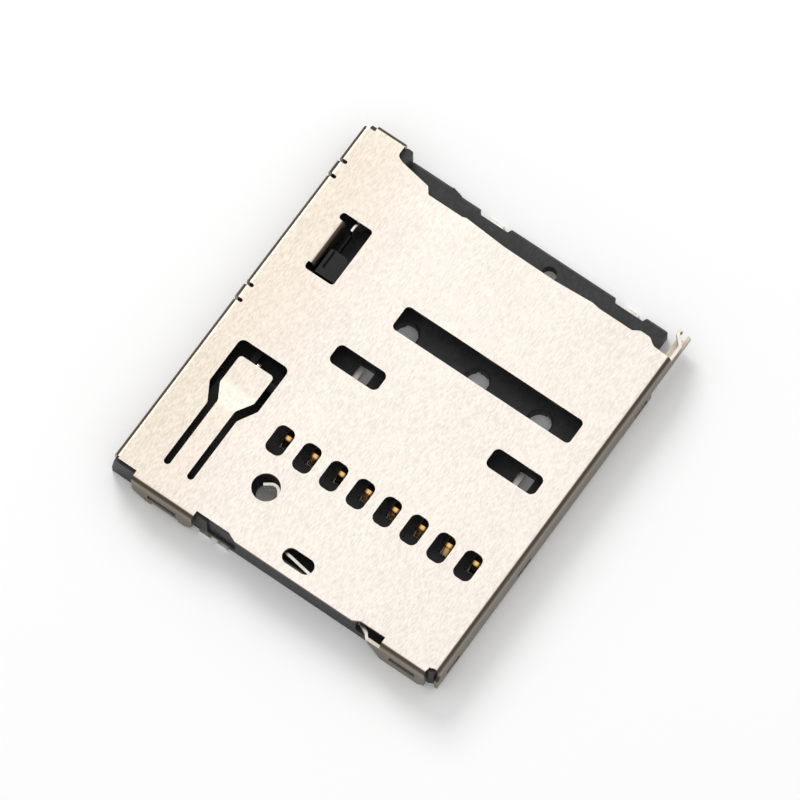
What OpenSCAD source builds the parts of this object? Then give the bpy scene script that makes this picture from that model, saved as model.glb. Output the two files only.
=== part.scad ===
// Push-push microSD card connector for surface mounting.
// +X runs across the card, +Y runs out of the card mouth, +Z is up from the board.
// The origin is the centre of the body's underside. The slider is in its ejected place, with no card in.

/* [Envelope] */
// Height over the shell's top plate
body_h = 1.42; // [1.38:0.01:1.6]

/* [Card] */
// Width of the card's wide part
card_w = 11; // [10.9:0.05:11.1]
// Width of the step in the card's side, where the slider pushes
card_step_w = 1.3; // [1.25:0.01:1.4]
// Gap between the card's straight edge and the shell's right wall
card_side_gap = 0.19; // [0.15:0.01:0.23]
// Distance from the card's straight edge to the last pad's centre
card_pad_inset = 1; // [0.95:0.01:1.05]
// Gap between the card's stepped edge and the moulded parts beside it
card_edge_gap = 0.1; // [0.06:0.01:0.14]

/* [Shell sheet] */
// Thickness of the stamped sheet
sheet_t = 0.12; // [0.1:0.01:0.14]
// Outer radius of the folds
fold_r = 0.2; // [0.18:0.01:0.24]
// Height of the side walls' lower edges over the board
wall_lift = 0.12; // [0.08:0.01:0.2]
// How far the left wall stands out beside the base
wall_out = 0.07; // [0.04:0.01:0.08]
// Set-back of the top plate's mouth edge
mouth_setback = 1.12; // [1:0.02:1.3]
// Set-back of the top plate's front left corner
corner_setback = 0.28; // [0.26:0.01:0.32]
// Lift of the front flange's lower edge
flange_lift = 0.2; // [0.14:0.01:0.3]
// Width of the front flange
flange_w = 1.15; // [1:0.05:1.3]
// Distance of the front flange from the left side
flange_inset = 0.38; // [0.34:0.02:0.44]
// Radius of the rear right corner's relief
corner_relief_r = 0.24; // [0.2:0.01:0.26]
// Depth of the shallow cut in the rear edge
rear_edge_cut = 0.24; // [0.22:0.01:0.26]

/* [Rear flaps] */
// How far the rear flaps stand out behind the base
flap_out = 0.11; // [0.08:0.01:0.12]
// Width of the left rear flap
flap_1_w = 2.48; // [2.3:0.02:2.6]
// Distance of the left rear flap from the left side
flap_1_inset = 0.9; // [0.84:0.02:0.96]
// Width of the right rear flap
flap_2_w = 1.8; // [1.6:0.05:1.9]
// Distance of the right rear flap from the right side
flap_2_inset = 0.4; // [0.36:0.02:0.5]
// Lift of the left rear flap's lower edge
flap_1_lift = 0.06; // [0.04:0.01:0.1]
// Length of the latch slot in the left flap
flap_1_latch_l = 1.15; // [1:0.05:1.2]
// Length of the latch slot in the right flap
flap_2_latch_l = 1.03; // [0.93:0.05:1.08]
// Height of those slots
flap_latch_h = 0.36; // [0.32:0.01:0.4]
// Lift of those slots over the board
flap_latch_z = 0.44; // [0.42:0.01:0.48]
// Length of the latch slots in the side walls
wall_latch_l = 0.72; // [0.6:0.02:0.8]
// Height of those slots
wall_latch_h = 0.28; // [0.24:0.01:0.3]
// Lift of those slots over the board
wall_latch_z = 0.22; // [0.2:0.01:0.24]
// Distances of the right wall's latches from the rear
wall_latch_y = [1.05, 5.2, 12.08];
// Set-back of the left wall's latch from the front
left_latch_setback = 1.1; // [1:0.05:1.2]
// Clearance all round a latch bump in its slot
latch_gap = 0.05; // [0.03:0.01:0.08]

/* [Side tabs] */
// Length of each outward side tab
side_tab_l = 0.51; // [0.45:0.03:0.57]
// How far a side tab stands out of the left wall
side_tab_out = 0.1; // [0.06:0.01:0.14]
// Width of the notches beside a side tab
tab_notch_w = 0.14; // [0.12:0.01:0.16]
// Depth of those notches from the left side
tab_notch_l = 0.27; // [0.25:0.01:0.3]
// Distance of the rear side tab's centre from the rear
side_tab_1_y = 7.53; // [7.33:0.05:7.73]
// Set-back of the front side tab's centre from the front
side_tab_2_setback = 2.1; // [2:0.05:2.3]

/* [Mouth ear] */
// Set-back of the ear's fork from the front
ear_fork_y = 0.66; // [0.6:0.02:0.72]
// How far the ear's upper prong bends inwards
ear_bend = 0.36; // [0.3:0.02:0.4]
// Drop of the ear's upper edge below the top plate
ear_drop = 0.25; // [0.22:0.01:0.3]
// Width of the ear's floor flange, under the card's edge
ear_flange_w = 0.43; // [0.4:0.01:0.48]
// Length of the right wall's shallow front part, over that flange
ear_flange_l = 2.4; // [2.2:0.05:2.6]

/* [Openings in the top plate] */
// Width of a contact window
window_w = 0.69; // [0.6:0.01:0.75]
// Length of a contact window
window_l = 1.09; // [0.99:0.02:1.15]
// Distance of the contact windows' centres from the rear
window_y = 3.88; // [3.8:0.02:4]
// Sideways shift of the windows from the contacts
window_shift = -0.08; // [-0.1:0.01:0]
// Radius of the round inspection hole
round_hole_r = 0.5; // [0.44:0.01:0.52]
// Distance of that hole's centre from the rear
round_hole_y = 2.25; // [2.2:0.01:2.3]
// Width of the switch slot
switch_slot_w = 1.2; // [1.05:0.03:1.26]
// Length of the switch slot
switch_slot_l = 0.59; // [0.53:0.02:0.61]
// Distance of the switch slot's centre from the rear
switch_slot_y = 0.745; // [0.73:0.005:0.755]
// Width of the two small slots
small_slot_w = 1.99; // [1.81:0.03:2.11]
// Length of the two small slots
small_slot_l = 0.77; // [0.71:0.02:0.83]
// Distance of the small slots' centres from the rear
small_slot_y = 7.51; // [7.4:0.02:7.6]
// Reach of the long slot to the left of the second contact
long_slot_reach_1 = 0.47; // [0.41:0.02:0.51]
// Reach of the long slot to the right of the last contact
long_slot_reach_2 = 0.21; // [0.15:0.01:0.25]
// Length of the long slot
long_slot_l = 0.98; // [0.9:0.02:1.02]
// Distance of the long slot's centre from the rear
long_slot_y = 9.82; // [9.78:0.01:9.88]
// Width of the rectangular window over the slider
cam_window_w = 0.95; // [0.9:0.01:1]
// Length of the rectangular window over the slider
cam_window_l = 2.4; // [2.32:0.02:2.44]
// Distance of that window's centre from the step of the slider
cam_window_shift = 1.06; // [1.02:0.01:1.08]
// Width of the fold reliefs at the window's ends
relief_w = 0.28; // [0.26:0.01:0.3]

/* [Spring tongue] */
// Width of the tongue's head
tongue_head_w = 1.4; // [1.32:0.01:1.46]
// Width of the tongue's neck
tongue_neck_w = 0.71; // [0.66:0.01:0.76]
// Width of the slots beside the neck
tongue_slot_w = 0.25; // [0.22:0.01:0.27]
// Width of the slots beside the head
head_slot_w = 0.3; // [0.27:0.01:0.32]
// Width of the slot before the head
front_slot_l = 0.5; // [0.44:0.01:0.54]
// Distance of the tongue's root from the rear
tongue_root_y = 1.12; // [1.06:0.02:1.2]
// Set-back of the tongue's free end from the pin's tip
tongue_setback = 0.16; // [0.13:0.01:0.18]
// Length of the tongue's head along its straight sides
tongue_head_l = 1.18; // [1.1:0.02:1.26]
// Length of the slanted shoulders between neck and head
tongue_shoulder_l = 0.6; // [0.5:0.02:0.7]

/* [Moulded base] */
// Height of the card floor over the board
floor_z = 0.47; // [0.45:0.01:0.49]
// Depth of the recesses under the floor
under_recess = 0.15; // [0.12:0.01:0.16]
// Thickness of the floor under the slider
channel_floor = 0.18; // [0.16:0.01:0.19]
// Clearance between the base and the shell around it
base_gap = 0.02; // [0.01:0.01:0.04]
// Set-back of the floor's front edge
floor_setback = 0.2; // [0.16:0.01:0.24]
// Thickness of the rear wall
rear_wall_t = 0.41; // [0.39:0.01:0.43]
// Length of the front block beside the card mouth
front_block_l = 2.18; // [2:0.02:2.2]
// Bevel along the floor's front edge
front_bevel = 0.1; // [0.06:0.01:0.12]
// Radius of the punched holes in the floor
punch_r = 0.42; // [0.38:0.01:0.44]
// Bevel round the punched holes
punch_bevel = 0.05; // [0.03:0.01:0.06]
// Distance of the row of punched holes under the long slot from the rear
punch_row_y = 9.72; // [9.68:0.01:9.76]
// Width of the openings where the tie bars between contacts are cut
tie_hole_w = 0.61; // [0.58:0.01:0.63]
// Length of those openings
tie_hole_l = 0.9; // [0.8:0.02:0.96]
// Distance of those openings' centres from the rear
tie_hole_y = 7.6; // [7.55:0.01:7.65]
// Radius of the hole at the mouth
mouth_hole_r = 0.27; // [0.24:0.01:0.3]
// Radius of the ejector's mark in the slider channel
channel_mark_r = 0.33; // [0.3:0.01:0.36]

/* [Contacts] */
// Number of contacts
contact_count = 8; // [8]
// Thickness of the contact strip
contact_t = 0.12; // [0.1:0.01:0.13]
// Width of the contact strip
contact_w = 0.4; // [0.36:0.01:0.42]
// Width of the strip where it is held in the moulding
contact_held_w = 0.26; // [0.24:0.01:0.28]
// Width of the cut tie bars between contacts, along Y
tie_w = 0.7; // [0.6:0.02:0.72]
// Gap between a cut tie bar's end and the next contact's centre
tie_cut_gap = 0.55; // [0.52:0.01:0.58]
// Width of the contact's sprung tip
contact_tip_w = 0.24; // [0.2:0.01:0.28]
// Distance of the contacts' crests from the rear
contact_crest_y = 4.25; // [4.2:0.01:4.3]
// Rise of the crests over the card floor
contact_rise = 0.42; // [0.36:0.01:0.45]
// Length of the sprung beam from the moulding to the crest
contact_beam_l = 2.55; // [2.4:0.05:2.6]
// Length of strip held in the moulding
contact_held_l = 1.55; // [1.5:0.02:1.6]
// Length of the solder tail from its bend
tail_l = 0.7; // [0.6:0.02:0.72]
// Clearance of a contact in its slot
contact_gap = 0.08; // [0.06:0.01:0.1]

/* [Slider and heart cam] */
// Width of the slider's body
slider_w = 1.57; // [1.55:0.01:1.6]
// Wall between the heart groove and the slider's rear end
groove_end_wall = 0.42; // [0.4:0.01:0.44]
// Length of the slider's full-height front part
slider_head_l = 1; // [0.95:0.01:1.05]
// Gap between the slider at its over-push and the pin's boss
slider_stop_gap = 0.13; // [0.1:0.01:0.16]
// Gap between the slider and the card's narrow edge
slider_card_gap = 0.12; // [0.1:0.01:0.14]
// Running clearance of the slider
run_gap = 0.04; // [0.03:0.01:0.06]
// Width of the rib between the coil spring and the slider
rib_w = 0.46; // [0.42:0.01:0.48]
// Clearance on each side of that rib
rib_gap = 0.07; // [0.06:0.01:0.09]
// Travel of the slider to the over-push
slider_travel = 3.5; // [3.3:0.05:3.5]
// Travel of the slider to the locked place
lock_travel = 3; // [2.9:0.05:3.05]
// Room for the pin between the cam block's top and the shell's plate
pin_room = 0.4; // [0.38:0.01:0.43]
// Depth of the heart groove
groove_depth = 0.38; // [0.35:0.01:0.4]
// Rise of the groove's ramps
ramp_rise = 0.06; // [0.03:0.01:0.08]
// Clearance on each side of the pin's tip in the groove
groove_gap = 0.05; // [0.04:0.01:0.06]
// Length of the slider's spring lug
lug_l = 1.2; // [1.1:0.05:1.25]

/* [Cam pin] */
// Diameter of the pin's wire
pin_d = 0.24; // [0.2:0.01:0.25]
// Inset of the pin's axis from the slider's right side
pin_inset = 1.17; // [1.15:0.01:1.2]
// Distance of the pin's pivot from the rear
pin_pivot_y = 1.25; // [1.2:0.01:1.3]
// Swing of the pin from one lane to the other
pin_swing = 10.5; // [10:0.1:10.6]
// Running clearance of the pin's pivot in its hole
pivot_gap = 0.03; // [0.02:0.01:0.05]
// Gap between the pin and the tongue that holds it down
press_gap = 0.01; // [0.01:0.01:0.03]

/* [Coil spring] */
// Outer diameter of the spring
spring_od = 0.78; // [0.74:0.01:0.8]
// Gap between the spring and the shell's left wall
spring_side_gap = 0.09; // [0.07:0.01:0.11]
// Diameter of the spring's wire
spring_wire_d = 0.12; // [0.1:0.01:0.13]
// Number of turns
spring_turns = 16; // [12:1:18]

/* [Card lock spring] */
// Thickness of the lock leaf
lock_t = 0.08; // [0.06:0.01:0.1]
// Reach of the lock leaf past the slider
lock_reach = 1.9; // [1.8:0.05:2]
// Gap between the leaf's end and the front block
lock_end_gap = 0.33; // [0.3:0.01:0.36]
// Depth of the leaf's root in the slider
lock_root = 0.75; // [0.7:0.01:0.8]

/* [Card detect switch] */
// Width of the shell's wing that carries the blade
wing_w = 0.52; // [0.48:0.01:0.56]
// Height of the wing's upper edge over the board
wing_top_z = 1.06; // [1.02:0.01:1.08]
// Thickness of the blade
blade_t = 0.1; // [0.08:0.01:0.1]
// Height of the blade's neck, where it leaves the wing
blade_neck_h = 0.24; // [0.2:0.01:0.28]
// Gap between the blade's upper edge and the top plate
blade_top_gap = 0.2; // [0.16:0.01:0.24]
// Lift of the blade over the card floor
blade_lift = 0.03; // [0.03:0.01:0.05]
// Length of the blade's long straight part
blade_run = 3.88; // [3.8:0.01:3.95]
// Slant of that part
blade_slant = 9.2; // [9:0.1:9.6]
// Height of the fixed terminal
terminal_h = 0.98; // [0.9:0.01:1]

/* [Solder lugs] */
// Width of a front lug
lug_w = 0.6; // [0.4:0.02:0.7]
// Thickness of the lugs and terminals
lug_t = 0.12; // [0.1:0.01:0.13]

/* [Hidden] */
$fn = 48;
eps = 0.01;
arc_steps = 6;

// Slider and pin lengths, which follow from the travel
lane_r = pin_d / 2 + groove_gap;
boss_r = pin_d / 2 + 0.2;
slider_rear_y = pin_pivot_y + boss_r + slider_stop_gap + slider_travel;
cam_block_l = groove_end_wall + 2 * lane_r + slider_travel + 0.09;
pin_l = slider_rear_y + groove_end_wall + lane_r - pin_pivot_y;
rib_left_gap = 0.08;

// Overall size: across, the spring, the rib, the slider and the card lie side by side, and
// along, the slider, the lock leaf and the front block lie one after the other
card_narrow_w = card_w - card_step_w;
contact_pitch = (card_narrow_w - 2 * card_pad_inset) / (contact_count - 1);
body_w = 2 * sheet_t + spring_side_gap + spring_od + rib_left_gap + rib_w + rib_gap + slider_w
         + slider_card_gap + card_narrow_w + card_side_gap;
body_l = slider_rear_y + cam_block_l + slider_head_l + lock_reach + lock_end_gap + front_block_l
         + base_gap + sheet_t;

// Overall faces
left_x = -body_w / 2;
right_x = body_w / 2;
rear_y = -body_l / 2;
front_y = body_l / 2;
left_in = left_x + sheet_t;
right_in = right_x - sheet_t;
under_z = body_h - sheet_t;

// Card edges
card_right_x = right_in - card_side_gap;
card_left_x = card_right_x - card_w;
card_narrow_x = card_right_x - card_narrow_w;

// Faces of the base
base_left = left_in + base_gap;
base_right = right_in - base_gap;
base_rear = rear_y + sheet_t + base_gap;
base_front = front_y - sheet_t - base_gap;
base_top = under_z - base_gap;
side_tabs = [rear_y + side_tab_1_y, front_y - side_tab_2_setback];
left_wall_rear = rear_y + rear_edge_cut + 0.08;
wall_end = front_y - mouth_setback - 0.13;
floor_front = front_y - floor_setback;
rear_in = base_rear + rear_wall_t;
block_right = card_left_x - card_edge_gap;
block_rear = base_front - front_block_l;

// Slider
slider_right = card_narrow_x - slider_card_gap;
slider_left = slider_right - slider_w;
slider_rear = rear_y + slider_rear_y;
slider_step_y = slider_rear + cam_block_l;
slider_front = slider_step_y + slider_head_l;
slider_bottom = channel_floor + run_gap;
slider_top = under_z - run_gap;
cam_top_z = under_z - pin_room;
channel_right = slider_right + run_gap + 0.02;

// Cam pin
pin_x = slider_right - pin_inset;
pivot_y = rear_y + pin_pivot_y;
tip_y = pivot_y + pin_l;
pin_z = cam_top_z + run_gap + pin_d / 2;
tip_bottom = cam_top_z - groove_depth + ramp_rise + 0.03;
lane_b_x = pin_x + pin_l * sin(pin_swing);
lane_b_y = pivot_y + pin_l * cos(pin_swing);
island_x = (pin_x + lane_b_x) / 2;
lock_y = pivot_y + pin_l * cos(pin_swing / 2) + lock_travel;

// Folded tab of the shell, which guides and stops the slider
tab_x = slider_left - 0.1;
tab_z = 0.6;
cam_win_y = slider_step_y + cam_window_shift;
tab_rear = cam_win_y - cam_window_l / 2 + relief_w;
tab_front = cam_win_y + cam_window_l / 2 - relief_w;
slider_lug_front = tab_rear - 0.05;
slider_lug_rear = slider_lug_front - lug_l;

// Coil spring
spring_x = left_in + spring_side_gap + spring_od / 2;
spring_z = channel_floor + spring_od / 2 + 0.1;
spring_rear = rear_in;
spring_front = slider_lug_rear;

// Contacts
contact_crest = rear_y + contact_crest_y;
contact_root = contact_crest + contact_beam_l;
contact_bend = contact_root + contact_held_l;
contact_embed_z = under_recess + 0.11;
contact_crest_z = floor_z + contact_rise - contact_t / 2;
contact_tip_y = contact_crest - 0.25;
slot_rear = contact_tip_y - 0.04;
well_front = contact_bend + tail_l + 0.06;
function contact_x(i) = card_right_x - card_pad_inset - (contact_count - i) * contact_pitch;

// Detect switch: the blade goes on from the end of the shell's wing at the right
flap_2_right = right_x - flap_2_inset;
flap_2_left = flap_2_right - flap_2_w;
flap_1_left = left_x + flap_1_inset;
flap_1_right = flap_1_left + flap_1_w;
wing_left = flap_2_left - wing_w;
blade_z = floor_z + blade_lift;
blade_top = under_z - blade_top_gap;
blade_gate_x = wing_left - 0.62;
wing_y = rear_y - flap_out + sheet_t / 2;
blade_start = [wing_left - 0.5, rear_y + 0.29];
blade_bend = blade_start + blade_run * [-cos(blade_slant), sin(blade_slant)];
blade_apex = blade_bend + [-1.25, 1.77];
blade_clear_x = blade_start[0] - (rear_in + blade_t - blade_start[1]) / tan(blade_slant);
terminal_left = flap_1_right + 0.2;
terminal_right = terminal_left + 1.17;
terminal_y = (base_rear + rear_in) / 2;

// Mouth notches of the floor, where the lugs lie
notch_1_x = contact_x(2) + 0.01;
notch_2_x = contact_x(7) + 0.09;
notch_w = 1.28;
floor_step_x = notch_1_x - 1.45;
floor_left_front = front_y - 0.1;
floor_right = base_right - 0.64;
channel_mark_x = slider_left + 0.12;
channel_mark_y = slider_front + 0.66;

notch_depth = 0.19;
latch_out = 0.11;
foot_w = 0.45;
wall_skin = 0.1;
corner_foot_h = 0.4;
corner_reach = 0.1;
relief_side_r = 0.27;
mark_depth = 0.05;

// Slider channel parts
rib_right = slider_left - rib_gap;
rib_left = rib_right - rib_w;
rib_front = slider_lug_rear - slider_travel - 0.11;
rib_top = 0.7;
peg_r = spring_od / 2 - spring_wire_d - 0.05;
pin_foot_z = channel_floor + 0.09;
lug_left = left_in + 0.08;
lug_top = spring_z + spring_od / 2 + 0.06;
lug_seat_right = spring_x + spring_od / 2 + 0.1;
card_push_w = 0.92;
horn_side_y = tip_y + lock_travel + 0.18;

// Card lock spring
lock_x = slider_left + 0.16;
lock_z = floor_z + 0.08;
lock_h = 0.6;
lock_neck_l = 0.9;
lock_neck_h = 0.3;

// Openings over the contacts
long_slot_left = contact_x(2) - long_slot_reach_1;
long_slot_right = contact_x(contact_count) + long_slot_reach_2;
long_slot_w = long_slot_right - long_slot_left;
small_slot_xs = [contact_x(2) - 0.55, contact_x(7) + 0.395];
round_hole_x = contact_x(1) + 0.5;

// Punched holes in the floor, under the long slot and the round hole
punch_row = rear_y + punch_row_y;
punch_places = [[contact_x(2) - 0.105, punch_row],
                [contact_x(4) + 0.61, punch_row],
                [contact_x(7) - 0.12, punch_row],
                [round_hole_x - 0.03, rear_y + round_hole_y + 0.12]];

// Openings under the small slots: the tie bar of the contact before is cut there
tie_contacts = [1, 7];
tie_y = rear_y + tie_hole_y;

// Pockets under the floor: their left sides, their width and their ends along Y
under_xs = [for (k = [0 : 3]) channel_right + 0.35 + k * 2.4];
under_w = 2.1;
under_ys = [[rear_in + 0.1, slot_rear - 0.2], [well_front + 0.95, floor_front - 1.7]];

// Rounds the corners of a closed list of [x, y, radius] points
function unit(v) = v / norm(v);
function corner_angle(a, b, c) = acos(max(-1, min(1, unit(a - b) * unit(c - b))));
function turn(a, b, c) = sign((b[0] - a[0]) * (c[1] - b[1]) - (b[1] - a[1]) * (c[0] - b[0]));
function xy(p) = [p[0], p[1]];
function corner(a, b, c, r) =
    r <= 0 || turn(a, b, c) == 0 ? [b] :
    let (half = corner_angle(a, b, c) / 2,
         run = r / tan(half),
         mid = b + unit(unit(a - b) + unit(c - b)) * r / sin(half),
         p0 = b + unit(a - b) * run - mid,
         start = atan2(p0[1], p0[0]),
         sweep = turn(a, b, c) * (180 - 2 * half))
    [for (k = [0 : arc_steps]) mid + r * [cos(start + sweep * k / arc_steps),
                                          sin(start + sweep * k / arc_steps)]];
function rounded(pts) =
    let (n = len(pts))
    [for (i = [0 : n - 1])
        for (p = corner(xy(pts[(i + n - 1) % n]), xy(pts[i]), xy(pts[(i + 1) % n]), pts[i][2])) p];

// The same for an open path, whose ends stay where they are
function path(pts) =
    let (n = len(pts))
    [for (i = [0 : n - 1])
        for (p = i == 0 || i == n - 1 ? [xy(pts[i])]
                 : corner(xy(pts[i - 1]), xy(pts[i]), xy(pts[i + 1]), pts[i][2])) p];

// Outline of a strip of thickness t along a path
function side_of(p, i) =
    let (n = len(p),
         a = i == 0 ? unit(p[1] - p[0]) : unit(p[i] - p[i - 1]),
         b = i == n - 1 ? a : unit(p[i + 1] - p[i]),
         m = unit(a + b))
    [-m[1], m[0]] / max(0.5, m * a);
function strip(p, t) =
    concat([for (i = [0 : len(p) - 1]) p[i] + side_of(p, i) * t / 2],
           [for (i = [len(p) - 1 : -1 : 0]) p[i] - side_of(p, i) * t / 2]);

// Draws a shape of the Y-Z plane with a width along X, starting at x
module across(x, w) {
    translate([x, 0, 0]) rotate([90, 0, 90]) linear_extrude(w) children();
}

// Draws a shape of the X-Z plane with a length along Y, ending at y1
module along(y0, y1) {
    translate([0, y1, 0]) rotate([90, 0, 0]) linear_extrude(y1 - y0) children();
}

module block(x0, x1, y0, y1, z0, z1) {
    translate([x0, y0, z0]) cube([x1 - x0, y1 - y0, z1 - z0]);
}

// Rectangle with true round corners, centred
module round_rect(w, l, r) {
    square([w - 2 * r, l], center = true);
    square([w, l - 2 * r], center = true);
    for (sx = [-1, 1], sy = [-1, 1])
        translate([sx * (w / 2 - r), sy * (l / 2 - r)]) circle(r);
}

module cut_slot(x, y, w, l, r) {
    translate([x, y, under_z - eps]) linear_extrude(sheet_t + 2 * eps) round_rect(w, l, r);
}

// Section of a fold: the sheet comes from +u and turns down at u = 0
module fold_section(z_low, r = fold_r) {
    intersection() {
        difference() {
            translate([r, body_h - r]) circle(r);
            translate([r, body_h - r]) circle(r - sheet_t);
        }
        translate([0, body_h - r]) square(r);
    }
    translate([0, z_low]) square([sheet_t, body_h - r - z_low]);
    translate([r, body_h - sheet_t]) square([eps, sheet_t]);
}

module left_wall(y0, y1, z_low, x = left_x - wall_out, r = fold_r) {
    along(y0, y1) translate([x, 0]) fold_section(z_low, r);
}

module right_wall(y0, y1, z_low) {
    along(y0, y1) mirror([1, 0]) translate([-right_x, 0]) fold_section(z_low);
}

module rear_flap(x0, x1, z_low) {
    across(x0, x1 - x0) translate([rear_y - flap_out, 0]) fold_section(z_low);
}

// The wing beside the right rear flap, whose end bends inwards and goes on as the detect blade
module wing() {
    x = flap_2_left;
    along(rear_y - flap_out, rear_y - flap_out + sheet_t)
        polygon([[x + eps, 0], [x + eps, wing_top_z], [wing_left, wing_top_z],
                 [wing_left, wing_top_z - blade_neck_h],
                 [x - 0.23, 0.42], [x, 0]]);
}

module front_flange(x0, x1, z_low) {
    across(x0, x1 - x0) mirror([1, 0]) translate([-front_y, 0]) fold_section(z_low);
}

// Half of the tongue's plan, to the right of its axis, at a distance from its edge
tongue_x = pin_x + 0.015;
root_y = rear_y + tongue_root_y;
free_y = tip_y - tongue_setback;
head_y = free_y - tongue_head_l;
neck_y = head_y - tongue_shoulder_l;
function tongue_half(side) =
    [[side * tongue_neck_w / 2, root_y, 0],
     [side * tongue_neck_w / 2, neck_y, 0.2],
     [side * tongue_head_w / 2, head_y, 0.2],
     [side * tongue_head_w / 2, free_y, 0.14]];
function reversed(a) = [for (i = [len(a) - 1 : -1 : 0]) a[i]];
function slot_half(side) =
    [[side * (tongue_neck_w / 2 + tongue_slot_w), root_y, 0],
     [side * (tongue_neck_w / 2 + tongue_slot_w), neck_y - 0.26, 0.2],
     [side * (tongue_head_w / 2 + head_slot_w), head_y - 0.18, 0.2],
     [side * (tongue_head_w / 2 + head_slot_w), free_y + front_slot_l, 0.22]];

module tongue_plan() {
    translate([tongue_x, 0])
        polygon(rounded(concat(tongue_half(1), reversed(tongue_half(-1)))));
}

module tongue_opening() {
    translate([tongue_x, 0]) difference() {
        union() {
            polygon(rounded(concat(slot_half(1), reversed(slot_half(-1)))));
            for (side = [-1, 1])
                translate([side * (tongue_neck_w + tongue_slot_w) / 2, root_y]) circle(tongue_slot_w / 2);
        }
        translate([-tongue_neck_w / 2, root_y - 1]) square([tongue_neck_w, 1 + eps]);
    }
}

// The sheet from the tongue's root to its free end, dropped onto the pin
tongue_drop = under_z - press_gap - (pin_z + pin_d / 2);
module tongue() {
    middle = under_z + sheet_t / 2;
    intersection() {
        across(tongue_x - tongue_head_w, 2 * tongue_head_w)
            polygon(strip(path([[root_y - 0.02, middle, 0],
                                [neck_y - 0.1, middle, 0.9],
                                [head_y + 0.15, middle - tongue_drop, 0.9],
                                [free_y, middle - tongue_drop, 0]]), sheet_t));
        translate([0, 0, 0.5]) linear_extrude(1) union() {
            tongue_plan();
            translate([tongue_x - tongue_neck_w / 2, root_y - 0.02]) square([tongue_neck_w, 0.1]);
        }
    }
}

// Plan of the top plate between the folds
function plate_outline() =
    let (xl = left_x - wall_out + fold_r,
         xr = right_x - fold_r,
         yr = rear_y - flap_out + fold_r,
         yf = front_y - fold_r,
         flange_x0 = left_x + flange_inset,
         flange_x1 = flange_x0 + flange_w,
         my = front_y - mouth_setback)
    [[xl, rear_y + rear_edge_cut, 0],
     [flap_1_left, rear_y + rear_edge_cut, 0],
     [flap_1_left, yr, 0],
     [flap_1_right, yr, 0],
     [flap_1_right, rear_y + rear_edge_cut, 0],
     [terminal_right - 0.05, rear_y + rear_edge_cut, 0.12],
     [terminal_right + 0.28, rear_y + 0.09, 0.12],
     [blade_gate_x - 0.13, rear_y + 0.09, 0.15],
     [blade_gate_x + 0.16, rear_y + rear_edge_cut, 0.15],
     [flap_2_left, rear_y + rear_edge_cut, 0],
     [flap_2_left, yr, 0],
     [flap_2_right, yr, 0],
     [flap_2_right, rear_y + rear_edge_cut, 0],
     [xr, rear_y + rear_edge_cut, 0],
     [xr, wall_end, 0],
     [card_right_x - 0.45, my - 0.1, 0.2],
     [card_right_x - 0.72, my + 0.1, 0.2],
     [card_right_x - 1.12, my + 0.1, 0.2],
     [card_right_x - 1.36, my - 0.05, 0.15],
     [contact_x(6) + 0.5, my - 0.05, 0.3],
     [contact_x(6) + 0.2, my, 0.3],
     [contact_x(4) + 0.9, my - 0.09, 1],
     [contact_x(3) - 0.1, my - 0.07, 1],
     [contact_x(2) - 0.65, my + 0.05, 0.1],
     [contact_x(2) - 0.8, my, 0.1],
     [card_narrow_x - 0.1, my, 0.1],
     [card_narrow_x - 0.28, my + 0.25, 0.12],
     [flange_x1 + 0.27, front_y - 0.66, 0.25],
     [flange_x1, front_y - 0.55, 0.2],
     [flange_x1, yf, 0],
     [flange_x0, yf, 0],
     [flange_x0, front_y - corner_setback, 0.04],
     [xl, front_y - corner_setback, 0]];

module side_tab(y_mid) {
    left_wall(y_mid - side_tab_l / 2, y_mid + side_tab_l / 2, 0, left_x - side_tab_out,
              fold_r + side_tab_out - wall_out);
}

// The side walls, with the notches and tabs of the left one
module side_walls() {
    half = side_tab_l / 2 + tab_notch_w;
    ends = [left_wall_rear, side_tabs[0] - half, side_tabs[0] + half, side_tabs[1] - half,
            side_tabs[1] + half, front_y - corner_setback];
    difference() {
        for (k = [0 : 2]) left_wall(ends[2 * k], ends[2 * k + 1], wall_lift);
        latch_cut_x(left_x, front_y - left_latch_setback);
    }
    for (y_mid = side_tabs) side_tab(y_mid);
    difference() {
        union() {
            right_wall(rear_y + rear_edge_cut, wall_end, wall_lift);
            block(right_in, right_x, rear_y + corner_reach, rear_y + rear_edge_cut + eps, wall_lift, 0.85);
        }
        translate([right_x - 0.5, rear_y + 0.04, 0.93]) rotate([0, 90, 0]) cylinder(r = relief_side_r, h = 1);
        block(right_x - 1, right_x + 1, front_y - ear_flange_l, front_y, 0, floor_z - sheet_t + fold_r);
        for (d = wall_latch_y) latch_cut_x(right_x, rear_y + d);
    }
}

module latch_cut_x(x, y_mid) {
    block(x - 0.4, x + 0.4, y_mid - wall_latch_l / 2, y_mid + wall_latch_l / 2, wall_latch_z,
          wall_latch_z + wall_latch_h);
}

module latch_cut_y(x_mid, l) {
    block(x_mid - l / 2, x_mid + l / 2, rear_y - 0.4, rear_y + 0.4, flap_latch_z,
          flap_latch_z + flap_latch_h);
}

// What is trimmed from the lower edges of the rear flaps
module flap_trims() {
    slot_end = (flap_1_left + flap_1_right + flap_1_latch_l) / 2;
    slot_start = slot_end - flap_1_latch_l;
    along(rear_y - 0.4, rear_y + 0.4) {
        polygon([[flap_1_left - eps, -eps], [flap_1_left - eps, 0.41], [flap_1_left + 0.66, -eps]]);
        polygon([[slot_start + 0.12, -eps], [slot_start + 0.12, 0.29], [slot_end + 0.1, 0.29],
                 [slot_end + 0.1, 0.15], [flap_1_right - 0.3, 0.15], [flap_1_right - 0.12, 0.3],
                 [flap_1_right + eps, 0.6], [flap_1_right + eps, -eps]]);
        polygon([[flap_2_right + eps, -eps], [flap_2_right + eps, 0.3], [flap_2_right - 0.15, 0.12],
                 [flap_2_right - 0.3, -eps]]);
    }
}

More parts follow.
